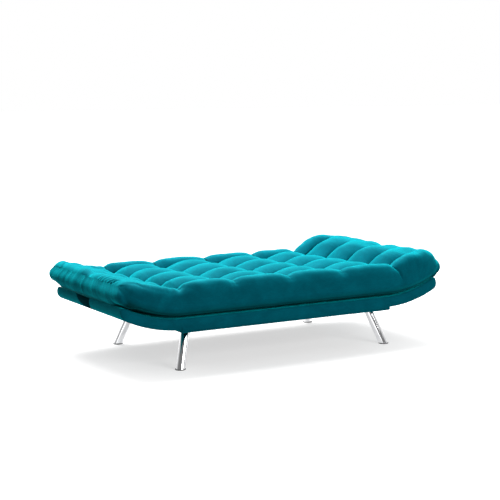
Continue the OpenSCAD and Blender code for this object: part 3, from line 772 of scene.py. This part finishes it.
def lining_material():
    """Black bonded dust cover with a fibrous, dimpled surface."""
    material, tree, shader = new_material("dust_cover")
    link = tree.links.new
    place = add(tree, "ShaderNodeTexCoord")
    dimples = add(tree, "ShaderNodeTexVoronoi", Scale=420.0)
    link(place.outputs["Object"], dimples.inputs["Vector"])
    fibres = add(tree, "ShaderNodeTexNoise", Scale=160.0, Detail=6.0, Roughness=0.7)
    link(place.outputs["Object"], fibres.inputs["Vector"])
    tone = ramp(tree, fibres.outputs["Fac"], [(0.3, (0.010, 0.010, 0.011)), (0.7, (0.030, 0.030, 0.031))])
    link(tone, shader.inputs["Base Color"])
    bump = add(tree, "ShaderNodeBump", Strength=0.5, Distance=0.0005)
    link(dimples.outputs["Distance"], bump.inputs["Height"])
    link(bump.outputs["Normal"], shader.inputs["Normal"])
    shader.inputs["Roughness"].default_value = 0.9
    return material


def glide_material():
    """Grey moulded plastic with a fine grain."""
    material, tree, shader = new_material("glide_plastic")
    link = tree.links.new
    place = add(tree, "ShaderNodeTexCoord")
    grain = add(tree, "ShaderNodeTexNoise", Scale=1200.0, Detail=2.0)
    link(place.outputs["Object"], grain.inputs["Vector"])
    tone = ramp(tree, grain.outputs["Fac"], [(0.3, (0.16, 0.165, 0.17)), (0.7, (0.21, 0.215, 0.22))])
    link(tone, shader.inputs["Base Color"])
    bump = add(tree, "ShaderNodeBump", Strength=0.2, Distance=0.0002)
    link(grain.outputs["Fac"], bump.inputs["Height"])
    link(bump.outputs["Normal"], shader.inputs["Normal"])
    shader.inputs["Roughness"].default_value = 0.38
    return material


def dress_cad_nodes():
    """Gives every CAD node that still shows the finish of its material slot."""
    finishes = {
        "chrome_tube": chrome_material(), "frame_steel": painted_material(), "zinc_steel": zinc_material(),
        "slat_wood": wood_material(), "dust_cover": lining_material(), "glide_plastic": glide_material()}
    for part in frame["record"]["subparts"]:
        finish = finishes.get(part["material_slot"])
        if finish is None:
            continue
        node = frame["nodes"][part["node"]]
        node.data.materials.clear()
        node.data.materials.append(finish)


# ---------------------------------------------------------------- studio

def by_ray(tree, seen, scattered):
    """A strength with one value for what is seen or mirrored, and another for light on soft surfaces."""
    path = add(tree, "ShaderNodeLightPath")
    strength = add(tree, "ShaderNodeMapRange")
    strength.inputs["To Min"].default_value = seen
    strength.inputs["To Max"].default_value = scattered
    tree.links.new(path.outputs["Is Diffuse Ray"], strength.inputs["Value"])
    return strength.outputs["Result"]


def floor_material():
    """White studio sweep: a pale floor that glows softly and more so further out."""
    material, tree, shader = new_material("studio_floor")
    link = tree.links.new
    place = add(tree, "ShaderNodeTexCoord")
    mottle = add(tree, "ShaderNodeTexNoise", Scale=1.5, Detail=2.0)
    link(place.outputs["Object"], mottle.inputs["Vector"])
    tone = ramp(tree, mottle.outputs["Fac"], [(0.3, (0.44, 0.44, 0.44)), (0.7, (0.46, 0.46, 0.46))])
    darker = add(tree, "ShaderNodeVectorMath", operation="SCALE")
    link(tone, darker.inputs[0])
    link(by_ray(tree, 1.0, 0.14), darker.inputs["Scale"])
    link(darker.outputs["Vector"], shader.inputs["Base Color"])
    distance = add(tree, "ShaderNodeVectorMath", operation="LENGTH")
    link(place.outputs["Object"], distance.inputs[0])
    # Painted light: the floor glows for the camera. It glows less near the sofa so that the shadow shows
    # there, and fully white further out, which hides the far ends of that shadow.
    glow = add(tree, "ShaderNodeMapRange", interpolation_type="SMOOTHSTEP")
    glow.inputs["From Min"].default_value = 0.5
    glow.inputs["From Max"].default_value = 1.7
    glow.inputs["To Min"].default_value = 0.58
    glow.inputs["To Max"].default_value = 1.0
    link(distance.outputs["Value"], glow.inputs["Value"])
    share = add(tree, "ShaderNodeMath", operation="MULTIPLY")
    link(glow.outputs["Result"], share.inputs[0])
    link(by_ray(tree, 1.0, 0.06), share.inputs[1])
    shader.inputs["Emission Color"].default_value = (1, 1, 1, 1)
    link(share.outputs["Value"], shader.inputs["Emission Strength"])
    shader.inputs["Roughness"].default_value = 0.85
    shader.inputs["Specular IOR Level"].default_value = 0.1
    return material


def make_floor():
    """A floor so wide that its edge is never seen."""
    half = 200.0
    mesh = bpy.data.meshes.new("studio_floor")
    mesh.from_pydata(
        [(-half, -half, 0), (half, -half, 0), (half, half, 0), (-half, half, 0)], [], [(0, 1, 2, 3)])
    floor = bpy.data.objects.new("studio_floor", mesh)
    floor.data.materials.append(floor_material())
    bpy.context.scene.collection.objects.link(floor)


def add_light(name, place, target, size, power):
    """A soft box at a place, turned toward a target. Its power is in watts."""
    light = bpy.data.lights.new(name, "AREA")
    light.shape = "RECTANGLE"
    light.size, light.size_y = size
    light.energy = power
    lamp = bpy.data.objects.new(name, light)
    bpy.context.scene.collection.objects.link(lamp)
    lamp.location = place
    direction = lamp.location - Vector(target)
    lamp.rotation_euler = direction.to_track_quat("Z", "Y").to_euler()


def make_studio():
    """White air that is dimmer on the camera's side, a white floor and two soft boxes."""
    world = bpy.data.worlds.new("studio_air")
    world.use_nodes = True
    tree = world.node_tree
    air = tree.nodes["Background"]
    air.inputs["Color"].default_value = (1, 1, 1, 1)
    link = tree.links.new
    place = add(tree, "ShaderNodeTexCoord")
    front = add(tree, "ShaderNodeVectorMath", operation="DOT_PRODUCT")
    front.inputs[1].default_value = (-0.60, -0.80, 0)
    link(place.outputs["Generated"], front.inputs[0])
    dimmed = add(tree, "ShaderNodeMapRange", interpolation_type="SMOOTHSTEP")
    dimmed.inputs["From Min"].default_value = -0.35
    dimmed.inputs["From Max"].default_value = 0.55
    dimmed.inputs["To Min"].default_value = 0.80
    dimmed.inputs["To Max"].default_value = 0.20
    link(front.outputs["Value"], dimmed.inputs["Value"])
    path = add(tree, "ShaderNodeLightPath")
    strength = add(tree, "ShaderNodeMix")
    strength.inputs["B"].default_value = 1.0
    link(path.outputs["Is Camera Ray"], strength.inputs["Factor"])
    link(dimmed.outputs["Result"], strength.inputs["A"])
    link(strength.outputs["Result"], air.inputs["Strength"])
    bpy.context.scene.world = world
    make_floor()
    add_light("overhead_softbox", (0.3, 1.4, 3.0), (0.1, 0.1, 0.3), (3.6, 2.6), 320)
    add_light("front_softbox", (0.9, -5.0, 2.3), (0.1, 0, 0.3), (2.8, 1.4), 130)
    bpy.context.scene.view_settings.view_transform = "Standard"


def make_camera():
    """The photograph's camera, solved from the feet, the base and the outline of the mattress."""
    camera_data = bpy.data.cameras.new("camera")
    camera_data.lens = 87.54
    camera_data.sensor_width = 36.0
    camera = bpy.data.objects.new("camera", camera_data)
    camera.location = (-3.122, -5.526, 1.270)
    aim = Euler((math.radians(90 - 6.919), 0, math.radians(-29.512))).to_matrix()
    roll = Matrix.Rotation(math.radians(-0.62), 3, "Z")
    camera.rotation_euler = (aim @ roll).to_euler()
    bpy.context.scene.collection.objects.link(camera)
    bpy.context.scene.camera = camera


# ---------------------------------------------------------------- the whole scene

make_camera()
make_studio()
velvet = velvet_material()
mattress = make_mattress()
seat_cover = make_cover("seat_base_cover", SEAT, "base", "seat_cover")
back_cover = make_cover("back_base_cover", BACK, "back", "back_cover")
for piece in (mattress, seat_cover, back_cover):
    piece.data.materials.append(velvet)
dress_cad_nodes()
